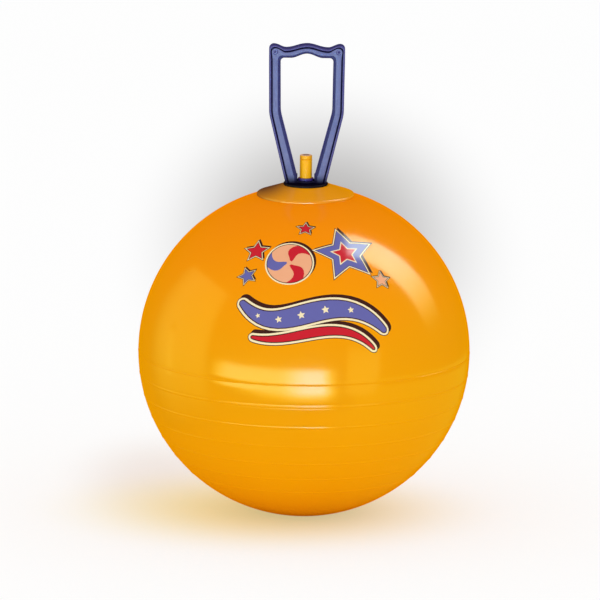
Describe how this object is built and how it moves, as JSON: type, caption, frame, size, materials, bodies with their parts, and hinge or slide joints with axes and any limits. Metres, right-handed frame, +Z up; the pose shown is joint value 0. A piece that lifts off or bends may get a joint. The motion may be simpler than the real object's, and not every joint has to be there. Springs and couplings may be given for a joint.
{
  "type": "hopper ball",
  "caption": "Air-filled vinyl hopper ball with a conical shoulder, an upright neck with a pull-out plug, and a stiff loop handle with horned corners that turns on the neck.",
  "frame": {"origin": "middle of the flat patch that the ball rests on, at floor height, under the neck's axis", "axes": "+Z up along the neck, X across the handle, -Y towards the viewer of the picture"},
  "size_m": [0.4508, 0.4508, 0.6435],
  "materials": {
    "orange_vinyl": "gloss",
    "shoulder_vinyl": "satin",
    "black_plastic": "satin",
    "blue_plastic": "satin",
    "dark_blue_plastic": "satin",
    "yellow_vinyl": "satin",
    "dark_ink": "gloss",
    "cream_ink": "gloss",
    "blue_ink": "gloss",
    "red_ink": "gloss",
    "peach_ink": "gloss"
  },
  "bodies": {
    "ball": {"ball_shell": "orange_vinyl", "neck_seat": "shoulder_vinyl", "slip_washer": "black_plastic", "lock_collar": "dark_blue_plastic"},
    "handle": {"handle": "blue_plastic"},
    "plug": {"plug": "yellow_vinyl"}
  },
  "joints": [
    {"name": "handle_turn", "type": "hinge", "parent": "ball", "child": "handle", "pos_m": [0, 0, 0.4555], "axis": [0, 0, 1], "continuous": true},
    {"name": "plug_pull", "type": "slide", "parent": "ball", "child": "plug", "axis": [0, 0, 1], "range_m": [0, 0.026]}
  ]
}
